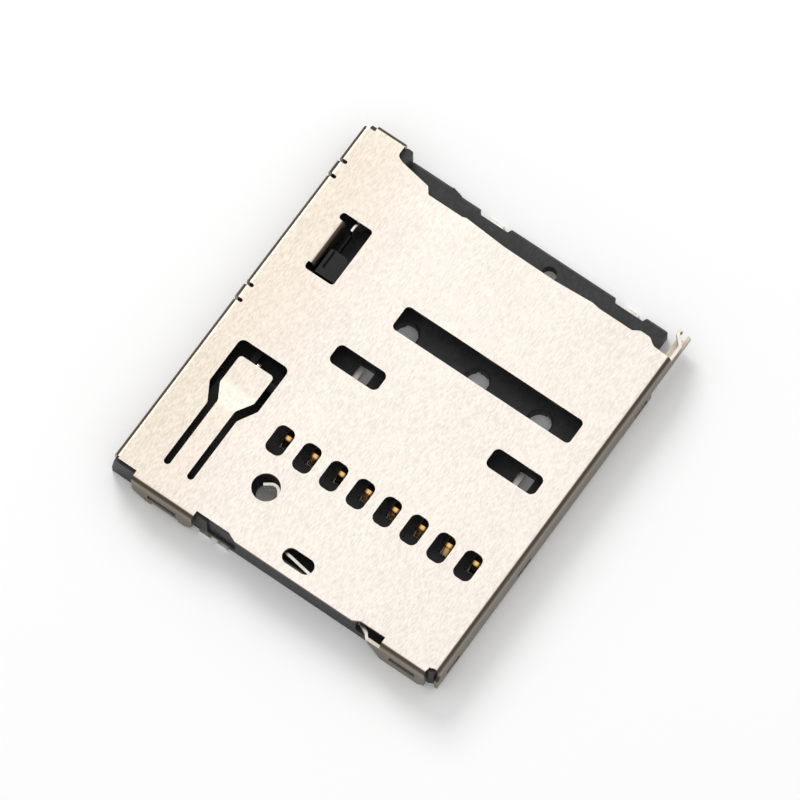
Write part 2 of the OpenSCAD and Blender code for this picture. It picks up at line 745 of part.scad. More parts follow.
// The mouth end of the right wall: floor flange, lower prong and bent upper prong
module mouth_ear() {
    fork = front_y - ear_fork_y;
    fork_z = (floor_z + body_h - ear_drop) / 2;
    low = floor_z - sheet_t;
    top = body_h - ear_drop;
    prong_x = right_x - sheet_t / 2;
    along(front_y - ear_flange_l, front_y - 0.2) {
        intersection() {
            difference() {
                translate([right_x - fold_r, low + fold_r]) circle(fold_r);
                translate([right_x - fold_r, low + fold_r]) circle(fold_r - sheet_t);
            }
            translate([right_x - fold_r, low]) square(fold_r);
        }
        translate([right_x - ear_flange_w, low]) square([ear_flange_w - fold_r, sheet_t]);
    }
    block(right_in, right_x, wall_end - eps, fork, low + fold_r, top);
    block(right_in, right_x, fork - eps, front_y - 0.05, low + fold_r, fork_z - 0.04);
    translate([0, 0, fork_z + 0.04]) linear_extrude(top - fork_z - 0.04)
        polygon(strip(path([[prong_x, fork - eps, 0],
                            [prong_x, fork + 0.04, 0.1],
                            [prong_x - ear_bend, front_y - 0.24, 0.1],
                            [prong_x - ear_bend + 0.07, front_y - 0.1, 0]]), sheet_t));
}

// The tab folded down at the window over the slider
module folded_tab() {
    difference() {
        along(tab_rear, tab_front) mirror([1, 0]) translate([-tab_x, 0]) fold_section(tab_z);
        translate([tab_x, tab_rear, tab_z]) rotate([45, 0, 0]) cube(0.2, center = true);
        translate([tab_x, tab_front, tab_z]) rotate([45, 0, 0]) cube(0.2, center = true);
    }
}

module cam_window() {
    x0 = tab_x - fold_r;
    x1 = tab_x + cam_window_w;
    y0 = cam_win_y - cam_window_l / 2;
    y1 = cam_win_y + cam_window_l / 2;
    front_x = x0 - 0.12;
    rear_x = x0 - 0.05;
    translate([0, 0, under_z - eps]) linear_extrude(sheet_t + 2 * eps) {
        polygon(rounded([[rear_x, y0, 0.13], [x1, y0, 0.13], [x1, y1, 0.13], [front_x, y1, 0.13],
                         [front_x, y1 - relief_w, 0.11], [x0, y1 - relief_w, 0], [x0, y0 + relief_w, 0],
                         [rear_x, y0 + relief_w, 0.04]]));
    }
}

module shell() color([0.93, 0.90, 0.85]) {
    difference() {
        union() {
            difference() {
                translate([0, 0, under_z]) linear_extrude(sheet_t) polygon(rounded(plate_outline()));
                translate([0, 0, under_z - eps]) linear_extrude(sheet_t + 2 * eps) tongue_opening();
                cam_window();
                for (i = [1 : contact_count])
                    cut_slot(contact_x(i) + window_shift, rear_y + window_y, window_w, window_l, 0.25);
                translate([round_hole_x, rear_y + round_hole_y, under_z - eps])
                    cylinder(r = round_hole_r, h = sheet_t + 2 * eps);
                cut_slot(contact_x(4) - 0.405, rear_y + switch_slot_y, switch_slot_w, switch_slot_l,
                         switch_slot_l / 2 - eps);
                for (x = small_slot_xs)
                    cut_slot(x, rear_y + small_slot_y, small_slot_w, small_slot_l, 0.22);
                cut_slot((long_slot_left + long_slot_right) / 2, rear_y + long_slot_y, long_slot_w,
                         long_slot_l, 0.17);
                for (y_mid = side_tabs, s = [-1, 1])
                    cut_slot(left_x + fold_r - wall_out, y_mid + s * (side_tab_l + tab_notch_w) / 2,
                             2 * (tab_notch_l - fold_r + wall_out), tab_notch_w, tab_notch_w / 2 - eps);
            }
            side_walls();
            difference() {
                union() {
                    rear_flap(flap_1_left, flap_1_right, flap_1_lift);
                    rear_flap(flap_2_left, flap_2_right, 0);
                }
                latch_cut_y((flap_1_left + flap_1_right) / 2, flap_1_latch_l);
                latch_cut_y((flap_2_left + flap_2_right) / 2, flap_2_latch_l);
                flap_trims();
            }
            wing();
            front_flange(left_x + flange_inset, left_x + flange_inset + flange_w, flange_lift);
            folded_tab();
            tongue();
        }
        translate([flap_2_right + corner_relief_r - 0.03, rear_y + 0.05, body_h - 0.5])
            cylinder(r = corner_relief_r, h = 1);
    }
    mouth_ear();
}

// Wedge that a latch slot snaps over: its lower face is flat and its upper face leads in
module latch_bump(l, h, out) {
    translate([0, l / 2, 0]) rotate([90, 0, 0]) linear_extrude(l)
        polygon([[-eps, 0], [out, 0], [out, h / 3], [-eps, h]]);
}

// Plan of the floor, with the two lug notches in its front edge
function notch(x, deep) =
    [[x + notch_w / 2, floor_front, 0.04], [x + notch_w / 2 - 0.05, floor_front - deep, 0.06],
     [x - notch_w / 2 + 0.05, floor_front - deep, 0.06], [x - notch_w / 2, floor_front, 0.04]];
function floor_outline() =
    concat([[base_left, base_rear, 0],
            [base_right, base_rear, 0.05],
            [base_right, front_y - ear_flange_l - 0.04, 0],
            [floor_right, front_y - ear_flange_l - 0.04, 0.08],
            [floor_right, floor_front, 0.12]],
           notch(notch_2_x, notch_depth),
           notch(notch_1_x, notch_depth),
           [[floor_step_x, floor_front, 0.1],
            [floor_step_x - 0.4, floor_left_front, 0.1],
            [block_right, floor_left_front, 0],
            [block_right, base_front, 0],
            [base_left, base_front, 0]]);

module punched_hole(x, y) {
    translate([x, y, -eps]) cylinder(r = punch_r, h = floor_z + 2 * eps);
    translate([x, y, floor_z - punch_bevel])
        cylinder(r1 = punch_r, r2 = punch_r + punch_bevel + eps, h = punch_bevel + eps);
}

// Raised parts of the moulding: rear wall, corner, front block and its two posts
module base_walls() {
    block(base_left, base_right, base_rear, rear_in, 0, base_top);
    along(base_rear, left_wall_rear - base_gap)
        polygon([[base_left + eps, 0], [left_x - side_tab_out, 0], [left_x - side_tab_out, corner_foot_h],
                 [left_x + 0.02, base_top - 0.03], [base_left + eps, base_top]]);
    block(base_right - 0.75, base_right, base_rear, rear_in + 0.12, 0, base_top);
    translate([0, 0, 0]) linear_extrude(base_top)
        polygon(rounded([[base_left, block_rear, 0], [block_right - 0.3, block_rear, 0.1],
                         [block_right, block_rear + 0.5, 0.2], [block_right, front_y - 0.09, 0.1],
                         [block_right - 0.32, front_y - 0.09, 0.1], [block_right - 0.32, base_front, 0],
                         [left_x + flange_inset - 0.02, base_front, 0],
                         [left_x + flange_inset - 0.02, front_y - 0.1, 0.05],
                         [base_left, front_y - 0.1, 0.05]]));
}

// The slider channel's rib, the pin's boss and the coil spring's peg
module channel_parts() {
    block(rib_left, rib_right, rear_in - eps, rib_front, 0, rib_top);
    block(pin_x - boss_r, pin_x + boss_r, rear_in - eps, pivot_y, 0, cam_top_z);
    translate([pin_x, pivot_y, 0]) cylinder(r = boss_r, h = cam_top_z);
    translate([spring_x, rear_in - eps, spring_z]) rotate([-90, 0, 0]) cylinder(r = peg_r, h = 0.5);
}

module base_latches() {
    g = latch_gap;
    for (d = wall_latch_y)
        translate([base_right, rear_y + d, wall_latch_z + g])
            latch_bump(wall_latch_l - 2 * g, wall_latch_h - 2 * g, latch_out);
    translate([base_left, front_y - left_latch_setback, wall_latch_z + g]) mirror([1, 0, 0])
        latch_bump(wall_latch_l - 2 * g, wall_latch_h - 2 * g, latch_out + wall_out);
    for (f = [[(flap_1_left + flap_1_right) / 2, flap_1_latch_l],
              [(flap_2_left + flap_2_right) / 2, flap_2_latch_l]])
        translate([f[0], base_rear, flap_latch_z + g]) rotate([0, 0, -90])
            latch_bump(f[1] - 2 * g, flap_latch_h - 2 * g, latch_out + flap_out);
}

// Shallow pockets under the floor, between the ribs that stand on the board
module under_pockets() {
    for (x = under_xs, y = under_ys)
        translate([x, y[0], -eps]) cube([under_w, y[1] - y[0], under_recess + eps]);
}

// Openings in the rear wall for the detect switch
module switch_openings() {
    top = base_top + eps;
    block(blade_clear_x, blade_gate_x, base_rear + wall_skin, rear_in + eps, floor_z, top);
    block(blade_gate_x - eps, flap_2_left, base_rear - eps, rear_in + eps, floor_z, top);
    block(terminal_left - 0.01, terminal_right + 0.01, terminal_y - lug_t / 2, terminal_y + lug_t / 2,
          -eps, top);
    block(terminal_left - 0.01, terminal_right + 0.01, base_rear - eps, terminal_y, -eps, lug_t);
    block(terminal_left + 0.27, terminal_right + 0.24, base_rear - eps, base_rear + 0.09, 0.3, top);
    block(terminal_left - 0.01, terminal_right + 0.01, terminal_y, rear_in + eps,
          terminal_h - lug_t - 0.02, top);
}

// The base's rear right corner is slanted off behind the shell's relief
module rear_corner_cut() {
    translate([0, 0, -eps]) linear_extrude(body_h)
        polygon([[base_right + eps, base_rear - eps], [base_right - 0.25, base_rear - eps],
                 [base_right - 0.08, base_rear + 0.07], [base_right + eps, base_rear + 0.25]]);
}

module base_housing() color([0.20, 0.20, 0.21]) {
    difference() {
        union() {
            difference() {
                union() {
                    linear_extrude(floor_z) polygon(rounded(floor_outline()));
                    base_walls();
                }
                block(base_left - 1, channel_right, rear_in, block_rear, channel_floor, body_h);
            }
            channel_parts();
            base_latches();
        }
        for (i = [1 : contact_count]) {
            contact_strip(i);
            block(contact_x(i) - contact_w / 2 - contact_gap, contact_x(i) + contact_w / 2 + contact_gap,
                  slot_rear, contact_root, -eps, floor_z + eps);
            block(contact_x(i) - contact_w / 2 - contact_gap, contact_x(i) + contact_w / 2 + contact_gap,
                  contact_bend + contact_t / 2, well_front, -eps, floor_z + eps);
        }
        under_pockets();
        for (p = punch_places) punched_hole(p[0], p[1]);
        for (i = tie_contacts)
            translate([contact_x(i + 1) - contact_held_w / 2 - tie_hole_w / 2 - base_gap, tie_y, -eps])
                linear_extrude(floor_z + 2 * eps) round_rect(tie_hole_w, tie_hole_l, 0.15);
        translate([contact_x(4) + 0.41, floor_front - 0.61, -eps])
            cylinder(r = mouth_hole_r, h = floor_z + 2 * eps);
        translate([channel_mark_x, channel_mark_y, channel_floor - mark_depth])
            cylinder(r = channel_mark_r, h = mark_depth + eps);
        translate([pin_x, pivot_y, pin_foot_z - 0.02])
            cylinder(r = pin_d / 2 + pivot_gap, h = cam_top_z);
        rear_corner_cut();
        switch_openings();
        lug(notch_1_x);
        lug(notch_2_x);
        front_edge_bevel(floor_step_x, floor_right, floor_front);
        front_edge_bevel(block_right, floor_step_x - 0.42, floor_left_front);
    }
}

module front_edge_bevel(x0, x1, y) {
    across(x0, x1 - x0 + eps)
        polygon([[y - front_bevel, floor_z + eps], [y + eps, floor_z + eps],
                 [y + eps, floor_z - front_bevel]]);
}

// One contact: solder tail, held part, sprung beam, crest and tip
module contact_strip(i) {
    profile = path([[contact_bend + tail_l, contact_t / 2, 0],
                    [contact_bend + 0.14, contact_t / 2, 0.1],
                    [contact_bend - 0.08, contact_embed_z, 0.1],
                    [contact_root - 0.08, contact_embed_z, 0.5],
                    [contact_crest, contact_crest_z + 0.04, 0.15],
                    [contact_tip_y, contact_crest_z - 0.3, 0]]);
    intersection() {
        across(contact_x(i) - contact_w, 2 * contact_w) polygon(strip(profile, contact_t));
        translate([contact_x(i), 0, -1]) linear_extrude(3) polygon(rounded(
            [[-contact_tip_w / 2, contact_tip_y - 1, 0],
             [contact_tip_w / 2, contact_tip_y - 1, 0],
             [contact_tip_w / 2, contact_crest + 0.3, 0.5],
             [contact_w / 2, contact_root - 0.5, 0.5],
             [contact_w / 2, contact_root + 0.1, 0],
             [contact_held_w / 2, contact_root + 0.2, 0],
             [contact_held_w / 2, contact_bend - 0.2, 0],
             [contact_w / 2, contact_bend - 0.1, 0],
             [contact_w / 2, contact_bend + tail_l + 1, 0],
             [-contact_w / 2, contact_bend + tail_l + 1, 0],
             [-contact_w / 2, contact_bend - 0.1, 0],
             [-contact_held_w / 2, contact_bend - 0.2, 0],
             [-contact_held_w / 2, contact_root + 0.2, 0],
             [-contact_w / 2, contact_root + 0.1, 0],
             [-contact_w / 2, contact_root - 0.5, 0.5],
             [-contact_tip_w / 2, contact_crest + 0.3, 0.5]]));
    }
    for (k = tie_contacts) if (k == i) cut_tie(i);
}

// What is left of a tie bar on a contact's right side
module cut_tie(i) {
    block(contact_x(i), contact_x(i + 1) - tie_cut_gap, tie_y - tie_w / 2, tie_y + tie_w / 2,
          contact_embed_z - contact_t / 2, contact_embed_z + contact_t / 2);
}

module contact(i) color([0.83, 0.62, 0.25]) contact_strip(i);

// The leaf that the card pushes back against the fixed terminal
module detect_blade() color([0.80, 0.78, 0.72]) {
    intersection() {
        translate([0, 0, blade_z]) linear_extrude(blade_top - blade_z)
            polygon(strip(path([[wing_left, wing_y, 0],
                                [wing_left - 0.04, wing_y, 0.08],
                                [wing_left - 0.18, rear_y + 0.12, 0.12],
                                [blade_start[0], blade_start[1], 0.1],
                                [blade_bend[0], blade_bend[1], 0.3],
                                [blade_apex[0], blade_apex[1], 0.25],
                                [blade_apex[0] - 0.42, blade_apex[1] - 0.3, 0]]), blade_t));
        along(rear_y - flap_out, 0)
            polygon([[left_x, 0], [blade_gate_x - 0.1, 0], [blade_gate_x + 0.05, wing_top_z - blade_neck_h],
                     [right_x, wing_top_z - blade_neck_h], [right_x, wing_top_z], [blade_gate_x, wing_top_z],
                     [blade_gate_x - 0.35, blade_top + eps], [left_x, blade_top + eps]]);
    }
}

module detect_terminal() color([0.80, 0.78, 0.72]) {
    difference() {
        across(terminal_left, terminal_right - terminal_left)
            polygon(strip(path([[rear_y + 0.05, lug_t / 2, 0],
                                [terminal_y, lug_t / 2, 0.08],
                                [terminal_y, terminal_h - lug_t / 2, 0.1],
                                [rear_in + 0.14, terminal_h - lug_t / 2, 0.1],
                                [rear_in + 0.14, terminal_h - 0.4, 0]]), lug_t));
        block(terminal_left + foot_w, terminal_right - foot_w, rear_y, terminal_y - lug_t / 2 - eps,
              -eps, lug_t + 0.1);
    }
}

// A flat solder lug at the mouth, whose inner end is held in the floor
module lug(x) {
    across(x - lug_w / 2, lug_w)
        polygon(strip(path([[floor_front + 0.04, lug_t / 2, 0],
                            [floor_front - 0.65, lug_t / 2, 0.1],
                            [floor_front - 0.85, contact_embed_z, 0.1],
                            [floor_front - 1.4, contact_embed_z, 0]]), lug_t));
}

module front_lug_left() color([0.85, 0.82, 0.74]) lug(notch_1_x);

module front_lug_right() color([0.85, 0.82, 0.74]) lug(notch_2_x);

// Plan of the heart groove: two lanes, two end chambers, the heart and the steering cusp
module groove_plan() {
    notch_a = 26;
    vertex_y = lock_y - (pin_d / 2 + 0.02) / sin(notch_a);
    heart_w = lane_b_x - pin_x - 2 * lane_r;
    horn_y = vertex_y + heart_w / 2 / tan(notch_a);
    front_end = tip_y + slider_travel + lane_r;
    rear_end = lane_b_y - lane_r;
    difference() {
        translate([island_x, (front_end + rear_end) / 2])
            round_rect(lane_b_x - pin_x + 2 * lane_r, front_end - rear_end, lane_r - eps);
        polygon(rounded([[island_x, tip_y + lane_r + 0.25, 0.05],
                         [island_x + heart_w / 2, tip_y + 1.1, 0.2],
                         [island_x + heart_w / 2, horn_y, 0.05],
                         [island_x, vertex_y, 0],
                         [island_x - heart_w / 2, horn_y, 0.05],
                         [island_x - heart_w / 2, tip_y + 1.1, 0.2]]));
        polygon([[island_x + heart_w / 2, front_end + eps],
                 [island_x - heart_w / 2, front_end + eps],
                 [island_x - heart_w / 4, front_end - 0.28]]);
    }
}

// Ramps that raise the pin along each lane and drop it past a slanted step, so it cannot turn back
module lane_ramp(x, y_low, y_high, skew) {
    low = cam_top_z - groove_depth;
    intersection() {
        across(x - lane_r, 2 * lane_r)
            polygon([[y_low, low - eps], [y_low, low], [y_high, low + ramp_rise], [y_high, low - eps]]);
        translate([0, 0, slider_bottom]) linear_extrude(1)
            polygon([[x - lane_r, y_low], [x + lane_r, y_low], [x + lane_r, y_high - skew],
                     [x - lane_r, y_high]]);
    }
}

module slider() color([0.13, 0.13, 0.14]) {
    face = slider_right - card_push_w;
    difference() {
        union() {
            translate([0, 0, slider_bottom]) linear_extrude(cam_top_z - slider_bottom)
                polygon(rounded([[slider_left, slider_rear, 0.08], [slider_right, slider_rear, 0.08],
                                 [slider_right, slider_step_y + eps, 0],
                                 [slider_left, slider_step_y + eps, 0]]));
            translate([0, 0, slider_bottom]) linear_extrude(slider_top - slider_bottom)
                polygon(rounded([[slider_left, slider_step_y, 0], [slider_right, slider_step_y, 0],
                                 [slider_right, slider_step_y + 0.06, 0.04],
                                 [face, slider_front - 0.02, 0.04], [face, slider_front, 0],
                                 [slider_left, slider_front, 0.06]]));
            translate([0, 0, slider_bottom]) linear_extrude(cam_top_z - slider_bottom)
                polygon(rounded([[lug_left, slider_lug_rear, 0.06], [slider_left + eps, slider_lug_rear, 0],
                                 [slider_left + eps, slider_lug_front, 0],
                                 [lug_left, slider_lug_front, 0.06]]));
            translate([0, 0, slider_bottom]) linear_extrude(lug_top - slider_bottom)
                polygon(rounded([[lug_left, slider_lug_rear, 0.06], [lug_seat_right, slider_lug_rear, 0],
                                 [lug_seat_right, slider_lug_front, 0], [lug_left, slider_lug_front, 0.06]]));
            translate([spring_x, slider_lug_rear + eps, spring_z]) rotate([90, 0, 0])
                cylinder(r = peg_r, h = 0.4);
        }
        translate([0, 0, cam_top_z - groove_depth]) linear_extrude(groove_depth + eps) groove_plan();
        block(lock_x - lock_t / 2, lock_x + lock_t / 2, slider_front - lock_root, slider_front + eps,
              lock_z, slider_top + eps);
    }
    lane_ramp(pin_x, tip_y + 0.3, horn_side_y, 0.18);
    lane_ramp(lane_b_x, horn_side_y, tip_y + 0.35, -0.18);
}

// The leaf that clicks into the notch in the card's side
module card_lock_spring() color([0.80, 0.78, 0.72]) {
    difference() {
        translate([0, 0, lock_z]) linear_extrude(lock_h)
            polygon(strip(path([[lock_x, slider_front - lock_root, 0],
                                [lock_x, slider_front + lock_reach - 0.7, 0.25],
                                [lock_x + 0.32, slider_front + lock_reach - 0.35, 0.15],
                                [lock_x, slider_front + lock_reach, 0]]), lock_t));
        block(lock_x - lock_reach, lock_x + lock_reach, slider_front + 0.05, slider_front + lock_neck_l,
              lock_z + lock_neck_h, slider_top);
    }
}

// Wire pin: one leg turns in the base's boss and the other runs in the groove
module cam_pin() color([0.85, 0.84, 0.80]) {
    r = pin_d / 2;
    bend = 0.15;
    translate([pin_x, pivot_y, pin_foot_z]) cylinder(r = r, h = pin_z - bend - pin_foot_z);
    translate([pin_x, tip_y, tip_bottom]) cylinder(r = r, h = pin_z - bend - tip_bottom);
    translate([pin_x, pivot_y + bend, pin_z]) rotate([-90, 0, 0]) cylinder(r = r, h = pin_l - 2 * bend);
    translate([pin_x, pivot_y + bend, pin_z - bend]) rotate([90, 0, 90]) rotate([0, 0, 90])
        rotate_extrude(angle = 90) translate([bend, 0]) circle(r);
    translate([pin_x, tip_y - bend, pin_z - bend]) rotate([90, 0, 90])
        rotate_extrude(angle = 90) translate([bend, 0]) circle(r);
}

// Compression spring along Y: the end turns lie close together
coil_steps = 16;
coil_sides = 6;
close_pitch = spring_wire_d * 1.15;
coil_span = spring_front - spring_rear - spring_wire_d;
open_pitch = (coil_span - 2 * close_pitch) / (spring_turns - 2);
function coil_y(t) =
    t < 1 ? t * close_pitch
    : t > spring_turns - 1 ? coil_span - (spring_turns - t) * close_pitch
    : close_pitch + (t - 1) * open_pitch;
function coil_point(t, k) =
    let (a = 360 * t,
         b = 360 * k / coil_sides,
         radial = spring_od / 2 - spring_wire_d / 2 * (1 - cos(b)))
    [spring_x + radial * cos(a),
     spring_rear + spring_wire_d / 2 + coil_y(t) + spring_wire_d / 2 * sin(b),
     spring_z + radial * sin(a)];
function coil_index(i, k) = i * coil_sides + k % coil_sides;

module coil_spring() color([0.70, 0.70, 0.68]) {
    last = spring_turns * coil_steps;
    points = [for (i = [0 : last], k = [0 : coil_sides - 1]) coil_point(i / coil_steps, k)];
    sides = [for (i = [0 : last - 1], k = [0 : coil_sides - 1])
             [coil_index(i, k), coil_index(i, k + 1), coil_index(i + 1, k + 1), coil_index(i + 1, k)]];
    ends = [[for (k = [coil_sides - 1 : -1 : 0]) coil_index(0, k)],
            [for (k = [0 : coil_sides - 1]) coil_index(last, k)]];
    polyhedron(points = points, faces = concat(sides, ends), convexity = 10);
}

shell();
base_housing();
for (i = [1 : contact_count])
    contact(i);
detect_blade();
detect_terminal();
front_lug_left();
front_lug_right();
slider();
card_lock_spring();
cam_pin();
coil_spring();
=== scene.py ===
"""Looks of a push-push microSD card connector, as an add-on that is run as a script.

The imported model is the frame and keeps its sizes. Each operator finishes one piece, or one group of
like pieces, and the stage operator adds the floor, the light and the camera.
"""

import math

import bpy
import numpy as np
from mathutils import Matrix, Vector


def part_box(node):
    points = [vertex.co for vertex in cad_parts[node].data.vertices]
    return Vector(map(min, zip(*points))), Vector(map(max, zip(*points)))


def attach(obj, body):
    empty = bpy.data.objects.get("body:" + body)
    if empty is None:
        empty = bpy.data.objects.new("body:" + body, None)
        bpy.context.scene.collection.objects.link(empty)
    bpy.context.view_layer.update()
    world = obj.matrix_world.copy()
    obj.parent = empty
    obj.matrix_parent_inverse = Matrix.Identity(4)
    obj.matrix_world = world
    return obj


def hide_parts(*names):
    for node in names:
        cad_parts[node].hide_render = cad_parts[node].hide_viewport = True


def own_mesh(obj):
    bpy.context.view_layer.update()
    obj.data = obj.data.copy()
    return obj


bl_info = {
    "name": "Card connector finishes",
    "version": (1, 0, 0),
    "blender": (4, 5, 0),
    "location": "View3D > Sidebar > Connector",
    "description": "Metal, plastic and plated finishes of a push-push card connector, and its stage",
    "category": "Object",
}

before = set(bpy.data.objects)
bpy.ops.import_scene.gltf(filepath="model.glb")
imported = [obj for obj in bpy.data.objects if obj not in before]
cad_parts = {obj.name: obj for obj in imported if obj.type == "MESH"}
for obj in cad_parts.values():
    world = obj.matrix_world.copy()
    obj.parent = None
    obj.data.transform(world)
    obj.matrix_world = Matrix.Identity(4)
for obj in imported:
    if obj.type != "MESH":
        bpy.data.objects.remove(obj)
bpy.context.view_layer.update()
MM = 0.001
SPRING_LOW, SPRING_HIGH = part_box("coil_spring")
CONTACT_NODES = ["contact_%d" % i for i in range(1, 9)]
CONTACT_X = sum(corner.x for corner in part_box("contact_2")) / 2


def linear(code, alpha=1.0):
    """The linear colour of an sRGB hex code such as "f2e6d8"."""
    parts = [int(code[i:i + 2], 16) / 255 for i in (0, 2, 4)]
    return tuple(c / 12.92 if c <= 0.04045 else ((c + 0.055) / 1.055) ** 2.4 for c in parts) + (alpha,)


def add(tree, kind, values=None, links=None, **settings):
    """Adds one node: settings are its own, values go on its sockets, and links come from other sockets."""
    node = tree.nodes.new(kind)
    for name, value in settings.items():
        setattr(node, name, value)
    for name, value in (values or {}).items():
        node.inputs[name].default_value = value
    for name, source in (links or {}).items():
        tree.links.new(source, node.inputs[name])
    return node


def new_material(name, values=None):
    """An empty node material and its Principled shader, joined to the output: values go on its sockets."""
    material = bpy.data.materials.new(name)
    material.use_nodes = True
    tree = material.node_tree
    tree.nodes.clear()
    shader = add(tree, "ShaderNodeBsdfPrincipled", values)
    add(tree, "ShaderNodeOutputMaterial", links={"Surface": shader.outputs["BSDF"]})
    return material, tree, shader


def streaks(tree, place, sizes, values, turn=0.0):
    """Noise with a mark size of its own along each axis, so that its marks run into lines."""
    mapped = add(tree, "ShaderNodeMapping", {"Scale": tuple(1 / size for size in sizes),
                                             "Rotation": (0, 0, turn)}, {"Vector": place})
    lines = add(tree, "ShaderNodeTexNoise", {"Scale": 1.0} | values, {"Vector": mapped.outputs["Vector"]})
    return lines.outputs["Fac"]


def ramp(tree, factor, *stops):
    """A colour ramp over a factor, from pairs of place and colour code in rising order."""
    node = add(tree, "ShaderNodeValToRGB", links={"Fac": factor})
    marks = node.color_ramp.elements
    for place, code in stops[1:-1]:
        marks.new(place).color = linear(code)
    for mark, (place, code) in ((marks[0], stops[0]), (marks[len(marks) - 1], stops[-1])):
        mark.position = place
        mark.color = linear(code)
    return node.outputs["Color"]


def tinted(tree, colour, tint):
    """One colour multiplied by another."""
    return add(tree, "ShaderNodeVectorMath", links={0: colour, 1: tint},
               operation="MULTIPLY").outputs["Vector"]


def roughen(tree, shader, marks, low, high, start=0.3, end=0.7):
    """Roughness from low to high as the marks go from start to end."""
    spread = add(tree, "ShaderNodeMapRange",
                 {"From Min": start, "From Max": end, "To Min": low, "To Max": high}, {"Value": marks})
    tree.links.new(spread.outputs["Result"], shader.inputs["Roughness"])


def relief(tree, shader, marks, strength, depth):
    """A fine relief that follows the marks."""
    bump = add(tree, "ShaderNodeBump", {"Strength": strength, "Distance": depth}, {"Height": marks})
    tree.links.new(bump.outputs["Normal"], shader.inputs["Normal"])


def dress(names, material):
    """Gives CAD nodes a material, without touching their meshes."""
    for name in names:
        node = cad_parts[name]
        if not node.material_slots:
            node.data.materials.append(material)
        for place in node.material_slots:
            place.material = material


class ShellLook(bpy.types.PropertyGroup):
    """Sizes and colours of the stamped shell's finish."""
    bright: bpy.props.StringProperty(name="Bright tone", description="Lighter tone of the plating",
                                     default="f4ebe2")
    warm: bpy.props.StringProperty(name="Warm tone", description="Warmer tone of the plating",
                                   default="e3dad1")
    grain: bpy.props.FloatProperty(name="Grain spacing", description="Distance between the rolling lines",
                                   default=0.038 * MM, unit="LENGTH", precision=6)
    grain_length: bpy.props.FloatProperty(name="Grain length", description="Length of one rolling line",
                                          default=0.17 * MM, unit="LENGTH", precision=5)
    roughness: bpy.props.FloatProperty(name="Roughness", description="Roughness of the plating",
                                       default=0.36, subtype="FACTOR")
    # Painted shade: the darker, yellower tint on parts lower than the plate
    low_shade: bpy.props.StringProperty(name="Film tone",
                                   description="Yellowish tint of the parts under the plate",
                                   default="dbd7c9")
    # Painted shade: a darker, warmer tint towards the left edge
    left_shade: bpy.props.StringProperty(name="Thin plating",
                                   description="Tint where the plating thins, at the left edge",
                                   default="f4f1e9")
    # Painted shade: the tones put on upright faces and on the sloping faces of the folds
    wall_shade: bpy.props.StringProperty(name="Wall tone",
                                    description="Tone left on upright faces, rubbed by the die",
                                    default="a3a19c")
    fold_shade: bpy.props.StringProperty(name="Crease tone",
                                      description="Tone left where the sheet bends sharpest",
                                      default="615a52")
    cloud: bpy.props.FloatProperty(name="Cloud size", description="Size of the cloudy tone in the plating",
                                   default=2.6 * MM, unit="LENGTH", precision=6)
    # Heights where the painted shade on lower parts is full and where it ends
    low_shade_from: bpy.props.FloatProperty(name="Film height",
                                       description="Height under which the film is full", default=0.95 * MM,
                                       unit="LENGTH", precision=6)
    low_shade_to: bpy.props.FloatProperty(name="Film top", description="Height over which there is no film",
                                     default=1.2 * MM, unit="LENGTH", precision=6)
    # Where the painted shade at the left edge is deepest and where it ends
    left_shade_from: bpy.props.FloatProperty(name="Thin edge",
                                       description="Place along X where the plating is thinnest",
                                       default=-6.3 * MM, unit="LENGTH", precision=6)
    left_shade_to: bpy.props.FloatProperty(name="Thin end", description="Place along X where the plating is full",
                                     default=-2.4 * MM, unit="LENGTH", precision=6)


class PlasticLook(bpy.types.PropertyGroup):
    """Sizes and colours of the moulded parts' finish."""
    base: bpy.props.StringProperty(name="Base colour", description="Colour of the moulded base",
                                   default="252526")
    base_pale: bpy.props.StringProperty(name="Flow marks", default="3a3a3b",
                                        description="Paler tone where glass fibre lies near the skin")
    slider: bpy.props.StringProperty(name="Slider colour", description="Colour of the slider",
                                     default="060606")
    mottle: bpy.props.FloatProperty(name="Mottle size",
                                    description="Size of the moulding skin's cloudy marks",
                                    default=0.5 * MM, unit="LENGTH", precision=5)
    fibre: bpy.props.FloatProperty(name="Fibre size", description="Spacing of the glass fibre marks",
                                   default=0.06 * MM, unit="LENGTH", precision=6)
    slider_pale: bpy.props.StringProperty(name="Slider marks",
                                          description="Paler tone of the slider's skin", default="0b0b0c")
    base_roughness: bpy.props.FloatProperty(name="Base roughness",
                                            description="Roughness of the base's skin", default=0.52,
                                            subtype="FACTOR")
    slider_roughness: bpy.props.FloatProperty(name="Slider roughness",
                                              description="Roughness of the slider's skin", default=0.6,
                                              subtype="FACTOR")


class ContactLook(bpy.types.PropertyGroup):
    """Colours of the plated contacts."""
    # The gold plating's colour, bright along each contact's middle as a painted highlight
    gold: bpy.props.StringProperty(name="Gold", description="Polished crown of the sprung tips",
                                   default="f0c67c")
    # Painted shade: the dark brown towards each contact's edges
    shaded: bpy.props.StringProperty(name="Dull gold", description="Thin plating at the strip's edges",
                                   default="85521f")
    pitch: bpy.props.FloatProperty(name="Pitch", description="Distance between the contacts",
                                   default=1.1 * MM, unit="LENGTH", precision=5)
    tin: bpy.props.StringProperty(name="Tin", description="Plating of the solder tails", default="dcd8cf")
    gold_end: bpy.props.FloatProperty(name="Gold length", description="Place along Y where the gold ends",
                                      default=-0.4 * MM, unit="LENGTH", precision=5)
    soft_edge: bpy.props.FloatProperty(name="Plating edge",
                                       description="Length over which the gold gives way to tin",
                                       default=0.3 * MM, unit="LENGTH", precision=6)
    # Half-width of the painted highlight, and where the painted shade begins
    highlight_half: bpy.props.FloatProperty(name="Polished half",
                                      description="Distance from the middle that cards keep bright",
                                      default=0.06 * MM, unit="LENGTH", precision=6)
    edge_shade_from: bpy.props.FloatProperty(name="Browned from",
                                     description="Distance from the middle where the gold is dull",
                                     default=0.115 * MM, unit="LENGTH", precision=6)


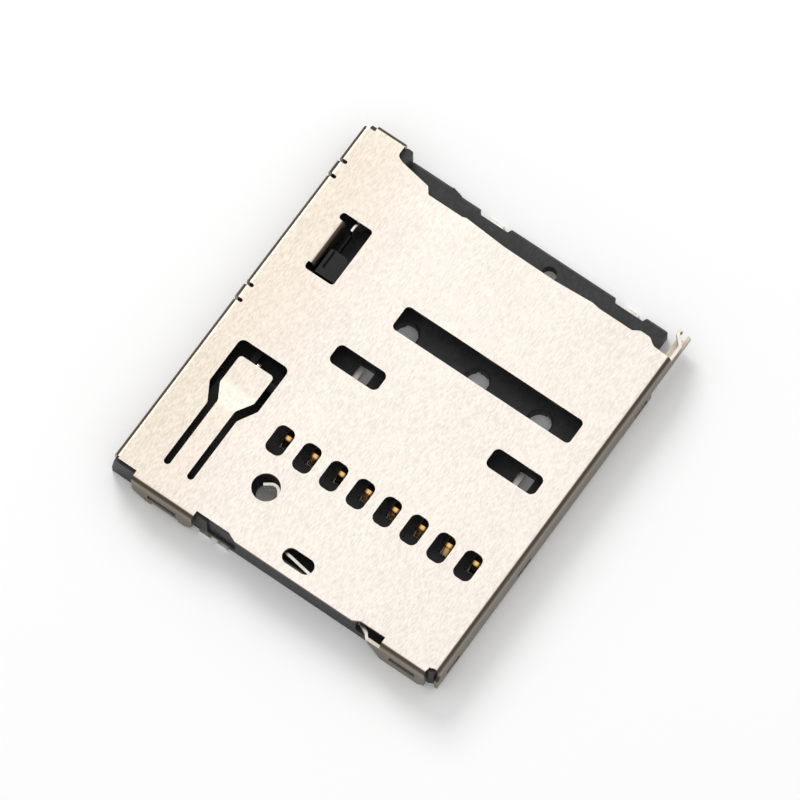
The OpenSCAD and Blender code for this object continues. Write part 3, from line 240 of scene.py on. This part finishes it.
class WireLook(bpy.types.PropertyGroup):
    """Sizes and colours of the drawn wire, the spring strip and the tinned lugs."""
    wire: bpy.props.StringProperty(name="Wire colour", description="Colour of the drawn wire",
                                   default="d9d6ce")
    strip: bpy.props.StringProperty(name="Strip colour", description="Colour of the spring strip",
                                    default="f2eee6")
    wire_d: bpy.props.FloatProperty(name="Spring wire", description="Diameter of the coil spring's wire",
                                    default=0.12 * MM, unit="LENGTH", precision=5)
    # Where the leaf's painted shade ends along Y
    shade_end: bpy.props.FloatProperty(name="Worn end",
                                       description="Place along Y where the leaf's worn end begins",
                                       default=3.93 * MM, unit="LENGTH", precision=5)
    turns: bpy.props.IntProperty(name="Turns", description="Turns of the coil spring", default=16, min=6)
    around: bpy.props.IntProperty(name="Steps a turn", description="Steps along one turn of wire",
                                  default=44, min=16)
    sides: bpy.props.IntProperty(name="Sides", description="Sides of the wire's section", default=12, min=8)
    pin_shade: bpy.props.StringProperty(name="Pin shade", description="Darker tone of the cam pin",
                                        default="bdb9b0")
    spring_shade: bpy.props.StringProperty(name="Spring shade",
                                           description="Darker tone of the coil spring", default="b4b0a7")
    strip_shade: bpy.props.StringProperty(name="Strip shade", description="Darker tone of the spring strip",
                                          default="dcd6ca")
    # Painted shade on the leaf, which lies deep in its slot
    leaf_shade: bpy.props.StringProperty(name="Oxide",
                                    description="Dark skin left on the leaf by its heat treatment",
                                    default="2c2927")
    lug: bpy.props.StringProperty(name="Lug tin", description="Plating of the mouth's solder lugs",
                                  default="e4e0d6")
    lug_shade: bpy.props.StringProperty(name="Lug shade", description="Darker tone of the lugs",
                                        default="c8c4ba")


class StageLook(bpy.types.PropertyGroup):
    """Camera, light and floor."""
    azimuth: bpy.props.FloatProperty(name="Azimuth", description="Camera's turn about Z from -Y",
                                     default=35.174)
    elevation: bpy.props.FloatProperty(name="Elevation", description="Camera's height angle",
                                       default=70.427)
    distance: bpy.props.FloatProperty(name="Distance", description="Camera to object", default=266.07 * MM,
                                      unit="LENGTH")
    lens: bpy.props.FloatProperty(name="Lens", description="Focal length on a 36 mm sensor", default=354.06)
    aside: bpy.props.FloatVectorProperty(name="Aim", description="Shift of the aim, right and up", size=2,
                                         default=(-0.085 * MM, 0.326 * MM), unit="LENGTH", precision=6)
    floor: bpy.props.StringProperty(name="Floor colour", description="Colour of the floor",
                                    default="fafafa")
    floor_glow: bpy.props.FloatProperty(name="Floor paleness", default=0.04,
                                        description="How pale the floor stays in the deepest shadow")
    key_power: bpy.props.FloatProperty(name="Key", description="Power of the main lamp", default=0.4,
                                       unit="POWER")
    sky: bpy.props.FloatProperty(name="Sky", description="Strength of the light from above", default=0.83)
    horizon: bpy.props.FloatProperty(name="Horizon",
                                     description="Share of the sky's strength left at the horizon",
                                     default=0.5, subtype="FACTOR")
    lamp_size: bpy.props.FloatProperty(name="Lamp size", description="Width of the main lamp's disk",
                                       default=0.14, unit="LENGTH")
    lamp_away: bpy.props.FloatProperty(name="Lamp distance", description="Main lamp to object", default=0.3,
                                       unit="LENGTH")
    lamp_side: bpy.props.FloatVectorProperty(name="Lamp direction",
                                             description="Where the main lamp stands", size=3,
                                             default=(-0.63, 0.5, 0.59), subtype="XYZ")


def shell_steel(look):
    """Nickel-plated stainless strip, cold rolled and stamped: a bright warm metal whose fine rolling
    lines run along Y and stretch its reflections a little, with faint cloudy tone in the plating. The
    folds and upright sides carry painted shade, a grey tone on upright faces and a darker one where
    the folds slope, so they draw a dark outline round the plate."""
    material, tree, shader = new_material("nickel_plated_stainless_strip", {"Metallic": 1.0})
    place = add(tree, "ShaderNodeTexCoord").outputs["Object"]
    axes = add(tree, "ShaderNodeSeparateXYZ", links={"Vector": place})
    # The real lines are about 0.01 mm apart. They are drawn coarser, so that they show.
    lines = streaks(tree, place, (look.grain, look.grain_length, look.grain),
                    {"Detail": 3.0, "Roughness": 0.6})
    cloud = add(tree, "ShaderNodeTexNoise", {"Scale": 1 / look.cloud, "Detail": 2.0, "Roughness": 0.5},
                {"Vector": place})
    cloudy = add(tree, "ShaderNodeMath", {1: 0.16}, {0: cloud.outputs["Fac"]}, operation="MULTIPLY")
    mixed = add(tree, "ShaderNodeMath", {1: 0.84}, {0: lines, 2: cloudy.outputs[0]},
                operation="MULTIPLY_ADD")
    plate = ramp(tree, mixed.outputs[0], (0.38, look.warm), (0.6, look.bright))
    # Painted shade: the plate turns darker and warmer towards the strip's left edge
    across = add(tree, "ShaderNodeMapRange", {"From Min": look.left_shade_from, "From Max": look.left_shade_to},
                 {"Value": axes.outputs["X"]})
    plate = tinted(tree, plate, ramp(tree, across.outputs["Result"], (0.0, look.left_shade), (1.0, "ffffff")))
    # Painted shade: a darker, yellower tint on what lies lower than the plate
    low = add(tree, "ShaderNodeMapRange", {"From Min": look.low_shade_from, "From Max": look.low_shade_to},
              {"Value": axes.outputs["Z"]})
    low_shade = ramp(tree, low.outputs["Result"], (0.0, look.low_shade), (1.0, "ffffff"))
    # Painted shade by facing: upright faces get a grey tone and the sloping faces of the folds a darker one
    facing = add(tree, "ShaderNodeSeparateXYZ",
                 links={"Vector": add(tree, "ShaderNodeTexCoord").outputs["Normal"]})
    painted_side_shade = ramp(tree, facing.outputs["Z"], (0.0, look.wall_shade), (0.72, look.fold_shade), (0.93, look.fold_shade),
                  (0.985, "ffffff"))
    tree.links.new(tinted(tree, plate, tinted(tree, low_shade, painted_side_shade)), shader.inputs["Base Color"])
    roughen(tree, shader, lines, look.roughness - 0.06, look.roughness + 0.06)
    relief(tree, shader, lines, 0.25, 0.002 * MM)
    return material


def moulded_plastic(name, dark, pale, mottle, fibre, roughness):
    """Glass-filled liquid crystal polymer, injection moulded: a dark matt skin with cloudy flow marks
    and a very fine fibre texture that breaks up its highlights."""
    # The fibres' tips scatter most of the sheen that a clear polymer would have
    material, tree, shader = new_material(name, {"IOR": 1.55, "Specular IOR Level": 0.3})
    place = add(tree, "ShaderNodeTexCoord").outputs["Object"]
    clouds = add(tree, "ShaderNodeTexNoise", {"Scale": 1 / mottle, "Detail": 3.0, "Distortion": 0.6},
                 {"Vector": place})
    fibres = streaks(tree, place, (fibre, fibre / 0.3, fibre), {"Detail": 2.0}, turn=0.5)
    both = add(tree, "ShaderNodeMath", links={0: clouds.outputs["Fac"], 1: fibres}, operation="MULTIPLY")
    tree.links.new(ramp(tree, both.outputs[0], (0.15, dark), (0.42, pale)), shader.inputs["Base Color"])
    roughen(tree, shader, fibres, roughness - 0.08, roughness + 0.08)
    relief(tree, shader, fibres, 0.35, 0.004 * MM)
    return material


def plated_contact(look):
    """Copper-alloy spring strip, stamped and plated: gold on the sprung part, bright along each contact's
    middle as a painted highlight and dark brown towards its edges as painted shade, matt tin on the
    solder tails, and fine lines where the strip was rolled."""
    material, tree, shader = new_material("gold_and_tin_plated_copper_alloy", {"Metallic": 1.0})
    place = add(tree, "ShaderNodeTexCoord").outputs["Object"]
    axes = add(tree, "ShaderNodeSeparateXYZ", links={"Vector": place})
    # 0 on the gold end and 1 on the tinned end, over the soft edge left by the plating bath
    tail = add(tree, "ShaderNodeMapRange", {"From Min": look.gold_end,
                                            "From Max": look.gold_end + look.soft_edge},
               {"Value": axes.outputs["Y"]})
    lines = streaks(tree, place, (0.025 * MM, 0.5 * MM, 0.1 * MM), {"Detail": 2.0})
    # Distance from the middle of the nearest contact: the row repeats at its pitch
    middle = add(tree, "ShaderNodeMath", {1: CONTACT_X}, {0: axes.outputs["X"]}, operation="SUBTRACT")
    off = add(tree, "ShaderNodeMath", {1: look.pitch / 2}, {0: middle.outputs[0]}, operation="PINGPONG")
    frayed = add(tree, "ShaderNodeMath", {1: 0.03 * MM}, {0: lines, 2: off.outputs[0]},
                 operation="MULTIPLY_ADD")
    # Painted highlight along each contact's middle, turning to painted shade towards its edges
    highlight = add(tree, "ShaderNodeMapRange", {"From Min": look.highlight_half, "From Max": look.edge_shade_from},
                {"Value": frayed.outputs[0]})
    gold = add(tree, "ShaderNodeMix", links={0: highlight.outputs["Result"]}, data_type="RGBA")
    gold.inputs[6].default_value = linear(look.gold)
    gold.inputs[7].default_value = linear(look.shaded)
    plated = add(tree, "ShaderNodeMix", data_type="RGBA")
    tree.links.new(tail.outputs["Result"], plated.inputs[0])
    tree.links.new(gold.outputs[2], plated.inputs[6])
    plated.inputs[7].default_value = linear(look.tin)
    tree.links.new(plated.outputs[2], shader.inputs["Base Color"])
    roughen(tree, shader, tail.outputs["Result"], 0.17, 0.42, start=0.0, end=1.0)
    relief(tree, shader, lines, 0.2, 0.002 * MM)
    return material


def bright_metal(name, code, shade, size, stretch, roughness):
    """Thin bright metal: drawn wire, rolled spring strip or tinned lug. The size is the spacing of its
    fine marks, the stretch turns them into lines along one axis, and the two tones keep it from
    looking like one flat colour."""
    material, tree, shader = new_material(name, {"Metallic": 1.0})
    place = add(tree, "ShaderNodeTexCoord").outputs["Object"]
    marks = streaks(tree, place, [size / share for share in stretch], {"Detail": 3.0})
    tree.links.new(ramp(tree, marks, (0.3, shade), (0.62, code)), shader.inputs["Base Color"])
    roughen(tree, shader, marks, roughness - 0.05, roughness + 0.07)
    relief(tree, shader, marks, 0.2, 0.002 * MM)
    return material


def shaded_leaf(look):
    """Spring leaf with painted shade: dark along most of its length, and in the strip's own colour
    and smoother at the bend that the card rubs.
    """
    material, tree, shader = new_material("spring_leaf_with_painted_shade", {"Metallic": 1.0})
    place = add(tree, "ShaderNodeTexCoord").outputs["Object"]
    axes = add(tree, "ShaderNodeSeparateXYZ", links={"Vector": place})
    marks = add(tree, "ShaderNodeTexNoise", {"Scale": 1 / (0.08 * MM), "Detail": 2.0}, {"Vector": place})
    # Painted shade up to a ragged line along Y; past it the leaf keeps the strip's colour
    edge = add(tree, "ShaderNodeMath", {1: 0.06 * MM, 2: look.shade_end - 0.03 * MM},
               {0: marks.outputs["Fac"]}, operation="MULTIPLY_ADD")
    unshaded = add(tree, "ShaderNodeMath", links={0: axes.outputs["Y"], 1: edge.outputs[0]},
               operation="GREATER_THAN")
    colours = add(tree, "ShaderNodeMix", links={0: unshaded.outputs[0]}, data_type="RGBA")
    colours.inputs[6].default_value = linear(look.leaf_shade)
    colours.inputs[7].default_value = linear(look.strip)
    tree.links.new(colours.outputs[2], shader.inputs["Base Color"])
    roughen(tree, shader, unshaded.outputs[0], 0.5, 0.25, start=0.0, end=1.0)
    return material


def grid_mesh(name, points):
    """A mesh from a grid of points[u, v]: quads between neighbours, closed round v, with a flat cap at
    each end of u."""
    count_u, count_v = points.shape[:2]
    index = np.arange(count_u * count_v).reshape(count_u, count_v)
    nxt = np.roll(index, -1, axis=1)
    quads = np.stack([index[:-1], index[1:], nxt[1:], nxt[:-1]], axis=-1).reshape(-1, 4)
    faces = quads.tolist() + [index[0].tolist(), index[-1][::-1].tolist()]
    mesh = bpy.data.meshes.new(name)
    mesh.from_pydata(points.reshape(-1, 3).tolist(), [], faces)
    mesh.validate()
    mesh.polygons.foreach_set("use_smooth", np.ones(len(mesh.polygons), bool))
    mesh.update()
    piece = bpy.data.objects.new(name, mesh)
    bpy.context.scene.collection.objects.link(piece)
    return piece


def helix_tube(low, high, wire_d, turns, around, sides):
    """A round wire carried along a helix about an axis along Y. The centre line is
    (x0 + R cos a, y(t), z0 + R sin a) with a = 2 pi t, and y(t) rises slowly over the first and last
    turn, where the turns lie close, and evenly between. The wire's section is a circle in the plane of
    the radial direction and the binormal of the helix."""
    centre = (low + high) / 2
    radius = (high.z - low.z) / 2 - wire_d / 2
    t = np.linspace(0, turns, turns * around + 1)
    close = wire_d * 1.15
    span = high.y - low.y - wire_d
    rise = np.interp(t, [0, 1, turns - 1, turns], [0, close, span - close, span])
    a = 2 * math.pi * t
    out = np.stack([np.cos(a), np.zeros_like(a), np.sin(a)], axis=1)
    line = np.stack([centre.x + radius * np.cos(a), low.y + wire_d / 2 + rise,
                     centre.z + radius * np.sin(a)], axis=1)
    along = np.gradient(line, axis=0)
    along /= np.linalg.norm(along, axis=1)[:, None]
    side = np.cross(along, out)
    side /= np.linalg.norm(side, axis=1)[:, None]
    b = 2 * math.pi * np.arange(sides) / sides
    ring = out[:, None, :] * np.cos(b)[None, :, None] + side[:, None, :] * np.sin(b)[None, :, None]
    return line[:, None, :] + ring * wire_d / 2


class CONNECTOR_OT_finish_shell(bpy.types.Operator):
    """Finish the folded steel shell"""
    bl_idname = "connector.finish_shell"
    bl_label = "Shell finish"

    def execute(self, context):
        dress(["shell"], shell_steel(context.scene.shell_look))
        return {"FINISHED"}


class CONNECTOR_OT_finish_base(bpy.types.Operator):
    """Finish the moulded base"""
    bl_idname = "connector.finish_base"
    bl_label = "Base finish"

    def execute(self, context):
        look = context.scene.plastic_look
        skin = moulded_plastic("glass_filled_polymer_base", look.base, look.base_pale,
                               look.mottle, look.fibre, look.base_roughness)
        dress(["base_housing"], skin)
        return {"FINISHED"}


class CONNECTOR_OT_finish_contacts(bpy.types.Operator):
    """Finish the eight plated contacts"""
    bl_idname = "connector.finish_contacts"
    bl_label = "Contact finish"

    def execute(self, context):
        dress(CONTACT_NODES, plated_contact(context.scene.contact_look))
        return {"FINISHED"}


class CONNECTOR_OT_finish_switch(bpy.types.Operator):
    """Finish the card-detect blade, its terminal and the card lock leaf"""
    bl_idname = "connector.finish_switch"
    bl_label = "Switch and leaf finish"

    def execute(self, context):
        look = context.scene.wire_look
        strip = bright_metal("rolled_stainless_spring_strip", look.strip, look.strip_shade,
                             size=0.04 * MM, stretch=(0.1, 0.1, 1), roughness=0.27)
        dress(["detect_blade", "detect_terminal"], strip)
        dress(["card_lock_spring"], shaded_leaf(look))
        return {"FINISHED"}


class CONNECTOR_OT_finish_lugs(bpy.types.Operator):
    """Finish the tinned solder lugs at the mouth"""
    bl_idname = "connector.finish_lugs"
    bl_label = "Lug finish"

    def execute(self, context):
        look = context.scene.wire_look
        tin = bright_metal("matt_tin_plated_lug", look.lug, look.lug_shade,
                           size=0.09 * MM, stretch=(1, 1, 1), roughness=0.4)
        dress(["front_lug_left", "front_lug_right"], tin)
        return {"FINISHED"}


class CONNECTOR_OT_finish_slider(bpy.types.Operator):
    """Finish the push-push slider"""
    bl_idname = "connector.finish_slider"
    bl_label = "Slider finish"

    def execute(self, context):
        look = context.scene.plastic_look
        skin = moulded_plastic("smooth_black_polymer_slider", look.slider, look.slider_pale,
                               look.mottle, look.fibre, look.slider_roughness)
        dress(["slider"], skin)
        return {"FINISHED"}


class CONNECTOR_OT_finish_pin(bpy.types.Operator):
    """Finish the bent wire cam pin"""
    bl_idname = "connector.finish_pin"
    bl_label = "Cam pin finish"

    def execute(self, context):
        look = context.scene.wire_look
        drawn = bright_metal("bright_drawn_steel_pin", look.wire, look.pin_shade,
                             size=0.03 * MM, stretch=(1, 0.08, 1), roughness=0.22)
        dress(["cam_pin"], drawn)
        return {"FINISHED"}


class CONNECTOR_OT_wind_spring(bpy.types.Operator):
    """Wind the coil spring as a smooth round wire"""
    bl_idname = "connector.wind_spring"
    bl_label = "Coil spring"

    def execute(self, context):
        look = context.scene.wire_look
        points = helix_tube(SPRING_LOW, SPRING_HIGH, look.wire_d, look.turns, look.around, look.sides)
        piece = grid_mesh("wound_coil_spring", points)
        drawn = bright_metal("drawn_spring_wire", look.wire, look.spring_shade,
                             size=0.05 * MM, stretch=(1, 1, 1), roughness=0.24)
        piece.data.materials.append(drawn)
        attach(piece, "housing")
        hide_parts("coil_spring")
        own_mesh(piece)
        return {"FINISHED"}


class CONNECTOR_OT_set_stage(bpy.types.Operator):
    """Set the floor, the light and the camera"""
    bl_idname = "connector.set_stage"
    bl_label = "Stage"

    def execute(self, context):
        look = context.scene.stage_look
        self.camera(context, look)
        self.floor(look)
        self.light(context, look)
        context.scene.view_settings.view_transform = "Standard"
        return {"FINISHED"}

    def camera(self, context, look):
        """The camera stands at azimuth and elevation about a point 0.02 mm over the origin, and its
        aim is shifted right and up by moving it, not by a lens shift."""
        az, el = math.radians(look.azimuth), math.radians(look.elevation)
        back = Vector((math.cos(el) * math.sin(az), -math.cos(el) * math.cos(az), math.sin(el)))
        right = (-back).cross(Vector((0, 0, 1))).normalized()
        up = right.cross(-back)
        spot = right * look.aside[0] + up * look.aside[1] + back * look.distance + Vector((0, 0, 0.02 * MM))
        data = bpy.data.cameras.new("camera")
        data.lens = look.lens
        data.sensor_width = 36
        data.clip_start = 0.01
        data.clip_end = 20
        camera = bpy.data.objects.new("camera", data)
        turn = Matrix((right, up, back)).transposed().to_4x4()
        camera.matrix_world = Matrix.Translation(spot) @ turn
        context.scene.collection.objects.link(camera)
        context.scene.camera = camera

    def floor(self, look):
        """A plain pale floor. What the camera and reflections see of it stays a little pale in shadow."""
        material, tree, shader = new_material("pale_paper_floor",
                                              {"Roughness": 0.9, "Specular IOR Level": 0.1,
                                               "Emission Color": linear("ffffff")})
        place = add(tree, "ShaderNodeTexCoord").outputs["Object"]
        cloud = add(tree, "ShaderNodeTexNoise", {"Scale": 60.0, "Detail": 2.0}, {"Vector": place})
        paper = ramp(tree, cloud.outputs["Fac"], (0.0, "f7f7f7"), (1.0, look.floor))
        tree.links.new(paper, shader.inputs["Base Color"])
        seen = self.seen(tree)
        glow = add(tree, "ShaderNodeMath", {1: look.floor_glow}, {0: seen}, operation="MULTIPLY")
        tree.links.new(glow.outputs[0], shader.inputs["Emission Strength"])
        # It lies a hair below the part, so that no two faces share a plane
        side, level = 1.5, -0.005 * MM
        corners = np.array([[-side, -side, level], [side, -side, level], [side, side, level],
                            [-side, side, level]])
        mesh = bpy.data.meshes.new("floor")
        mesh.from_pydata(corners.tolist(), [], [[0, 1, 2, 3]])
        floor = bpy.data.objects.new("floor", mesh)
        mesh.materials.append(material)
        bpy.context.scene.collection.objects.link(floor)

    def seen(self, tree):
        """1 for camera, glossy and transmission rays, 0 for the rays that light the object."""
        path = add(tree, "ShaderNodeLightPath")
        shiny = add(tree, "ShaderNodeMath", operation="MAXIMUM",
                    links={0: path.outputs["Is Glossy Ray"], 1: path.outputs["Is Transmission Ray"]})
        both = add(tree, "ShaderNodeMath", links={0: path.outputs["Is Camera Ray"], 1: shiny.outputs[0]},
                   operation="MAXIMUM")
        return both.outputs[0]

    def light(self, context, look):
        """One large soft lamp at the far left, and a pale sky that darkens towards the horizon, so that
        upright faces and rounded folds turn darker beside the plate, as under a lamp tent with open
        sides. The shell's painted shade darkens them further."""
        direction = Vector(look.lamp_side).normalized()
        lamp = bpy.data.lights.new("key", "AREA")
        lamp.shape = "DISK"
        lamp.size = look.lamp_size
        lamp.energy = look.key_power
        key = bpy.data.objects.new("key", lamp)
        key.location = direction * look.lamp_away
        key.rotation_euler = direction.to_track_quat("Z", "Y").to_euler()
        context.scene.collection.objects.link(key)
        world = bpy.data.worlds.new("pale_sky")
        context.scene.world = world
        world.use_nodes = True
        tree = world.node_tree
        tree.nodes.clear()
        sight = add(tree, "ShaderNodeTexCoord").outputs["Generated"]
        height = add(tree, "ShaderNodeSeparateXYZ", links={"Vector": sight})
        fade = add(tree, "ShaderNodeMapRange", {"From Min": 0.05, "From Max": 0.7, "To Min": look.horizon},
                   {"Value": height.outputs["Z"]}, interpolation_type="SMOOTHSTEP")
        level = add(tree, "ShaderNodeMapRange", {"To Min": look.sky, "To Max": 1.0},
                    {"Value": self.seen(tree)})
        dimmed = add(tree, "ShaderNodeMath", links={0: fade.outputs["Result"], 1: level.outputs["Result"]},
                     operation="MULTIPLY")
        camera_ray = add(tree, "ShaderNodeLightPath").outputs["Is Camera Ray"]
        strength = add(tree, "ShaderNodeMath", links={0: dimmed.outputs[0], 1: camera_ray},
                       operation="MAXIMUM")
        sky = add(tree, "ShaderNodeBackground", {"Color": (1, 1, 1, 1)}, {"Strength": strength.outputs[0]})
        add(tree, "ShaderNodeOutputWorld", links={"Surface": sky.outputs["Background"]})


class CONNECTOR_PT_panel(bpy.types.Panel):
    """The connector's finishes and its stage"""
    bl_idname = "CONNECTOR_PT_panel"
    bl_label = "Card connector"
    bl_space_type = "VIEW_3D"
    bl_region_type = "UI"
    bl_category = "Connector"

    def draw(self, context):
        for operator in OPERATORS:
            self.layout.operator(operator.bl_idname)


LOOKS = {"shell_look": ShellLook, "plastic_look": PlasticLook, "contact_look": ContactLook,
         "wire_look": WireLook, "stage_look": StageLook}
OPERATORS = [CONNECTOR_OT_finish_shell, CONNECTOR_OT_finish_base, CONNECTOR_OT_finish_contacts,
             CONNECTOR_OT_finish_switch, CONNECTOR_OT_finish_lugs, CONNECTOR_OT_finish_slider,
             CONNECTOR_OT_finish_pin, CONNECTOR_OT_wind_spring, CONNECTOR_OT_set_stage]
CLASSES = list(LOOKS.values()) + OPERATORS + [CONNECTOR_PT_panel]


def register():
    for cls in CLASSES:
        bpy.utils.register_class(cls)
    for name, look in LOOKS.items():
        setattr(bpy.types.Scene, name, bpy.props.PointerProperty(type=look))


def unregister():
    for name in LOOKS:
        delattr(bpy.types.Scene, name)
    for cls in reversed(CLASSES):
        bpy.utils.unregister_class(cls)


def main():
    """Registers the add-on and builds every piece in order."""
    register()
    for operator in OPERATORS:
        group, call = operator.bl_idname.split(".")
        getattr(getattr(bpy.ops, group), call)()


if __name__ == "__main__":
    main()
